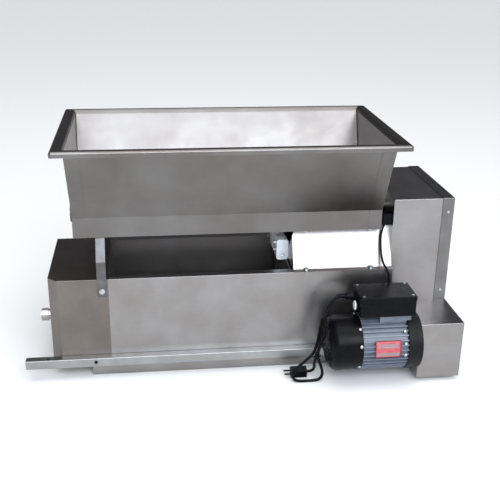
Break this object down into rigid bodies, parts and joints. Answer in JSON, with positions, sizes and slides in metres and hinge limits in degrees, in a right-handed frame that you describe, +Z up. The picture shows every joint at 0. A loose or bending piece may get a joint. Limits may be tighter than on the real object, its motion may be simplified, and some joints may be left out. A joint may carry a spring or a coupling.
{
  "type": "grape crusher destemmer",
  "caption": "Motor-driven grape crusher and destemmer: open rectangular hopper with feed screw over crushing rollers, a beater in a perforated cage, belt guard and side motor.",
  "frame": {"origin": "middle of the machine's footprint, at the foot of the must skirt", "axes": "+X along the machine towards the belt guard, +Y from the motor side to the back, +Z up"},
  "size_m": [1.18, 0.573, 0.66],
  "materials": {
    "stainless_sheet": "brushed 304 sheet, 2 mm",
    "stainless_hopper": "brushed 304 sheet, 2 mm, folded and welded",
    "stainless_bar": "stainless tube and flat bar",
    "steel_shaft": "turned stainless shaft",
    "zinc_fastener": "bright stainless fasteners",
    "roller_alloy": "cast aluminium rollers",
    "beater_rubber": "food-grade rubber paddles",
    "nylon_block": "white nylon bearing blocks",
    "gear_iron": "cast gears, pulleys and bearings",
    "belt_rubber": "V-belts",
    "motor_alloy": "finned cast aluminium motor frame",
    "motor_iron": "laminated core and winding",
    "black_plastic": "moulded black plastic",
    "button_white": "white push button",
    "plate_foil": "plain coloured rating plate, no text",
    "cord_pvc": "black rubber-sheathed cord"
  },
  "bodies": {
    "machine": {"hopper": "stainless_hopper", "auger_trough": "stainless_sheet", "auger_bearings": "gear_iron", "body_shell": "stainless_sheet", "stalk_casing": "stainless_sheet", "bearing_spider": "stainless_bar", "drive_plate": "stainless_sheet", "beater_cage": "stainless_sheet", "cage_hood": "stainless_sheet", "feed_guides": "stainless_sheet", "must_skirt": "stainless_sheet", "front_rail": "stainless_bar", "rear_rail": "stainless_bar", "beater_bearing": "gear_iron", "roller_box": "stainless_sheet", "roller_blocks": "nylon_block", "roller_bushes": "gear_iron", "drive_belt": "belt_rubber", "roller_belt": "belt_rubber", "auger_belt": "belt_rubber", "guard_housing": "stainless_sheet", "guard_lid": "stainless_sheet", "motor_frame": "motor_alloy", "motor_stator": "motor_iron", "fan_cover": "black_plastic", "drive_end_shield": "motor_alloy", "rear_end_shield": "motor_alloy", "motor_bearings": "zinc_fastener", "motor_nameplate": "plate_foil", "motor_bolts": "zinc_fastener", "terminal_box": "black_plastic", "terminal_lid": "black_plastic", "run_capacitor": "black_plastic", "switch_block": "black_plastic", "cord_gland": "black_plastic", "power_cord": "cord_pvc", "cord_hank": "cord_pvc", "power_plug": "cord_pvc", "safety_switch": "black_plastic", "switch_cable": "cord_pvc", "hopper_straps": "stainless_bar", "body_bolts": "zinc_fastener", "cover_screws": "zinc_fastener"},
    "beater": {"beater_shaft": "steel_shaft", "beater_arms": "steel_shaft", "beater_paddles": "beater_rubber", "beater_pulley": "gear_iron", "beater_small_pulley": "gear_iron"},
    "motor_spindle": {"motor_rotor": "steel_shaft", "motor_fan": "black_plastic", "motor_pulley": "gear_iron"},
    "front_crusher": {"front_roller": "roller_alloy", "front_gear": "nylon_block", "roller_pulley": "roller_alloy", "roller_small_pulley": "gear_iron"},
    "rear_crusher": {"rear_roller": "roller_alloy", "rear_gear": "nylon_block"},
    "auger": {"feed_auger": "steel_shaft", "auger_pulley": "roller_alloy"},
    "button": {"push_button": "button_white"}
  },
  "joints": [
    {"name": "beater_spin", "type": "hinge", "parent": "machine", "child": "beater", "pos_m": [0.03, 0.0365, 0.116], "axis": [1, 0, 0], "continuous": true},
    {"name": "motor_spin", "type": "hinge", "parent": "machine", "child": "motor_spindle", "pos_m": [0.39, -0.2095, 0.114], "axis": [1, 0, 0], "continuous": true},
    {"name": "front_roller_spin", "type": "hinge", "parent": "machine", "child": "front_crusher", "pos_m": [0.27, -0.0035, 0.328], "axis": [1, 0, 0], "continuous": true},
    {"name": "rear_roller_spin", "type": "hinge", "parent": "machine", "child": "rear_crusher", "pos_m": [0.27, 0.0765, 0.328], "axis": [1, 0, 0], "continuous": true},
    {"name": "auger_spin", "type": "hinge", "parent": "machine", "child": "auger", "pos_m": [-0.03, 0.0365, 0.424], "axis": [1, 0, 0], "continuous": true},
    {"name": "button_press", "type": "slide", "parent": "machine", "child": "button", "axis": [1, 0, 0], "range_m": [0, 0.003], "stiffness_N_per_m": 300, "springref_m": -0.001}
  ],
  "couplings": [
    {"joint": "motor_spin", "follows": "beater_spin", "ratio": 2.75},
    {"joint": "front_roller_spin", "follows": "beater_spin", "ratio": 0.38461},
    {"joint": "rear_roller_spin", "follows": "beater_spin", "ratio": -0.38461},
    {"joint": "auger_spin", "follows": "beater_spin", "ratio": 0.20147}
  ]
}
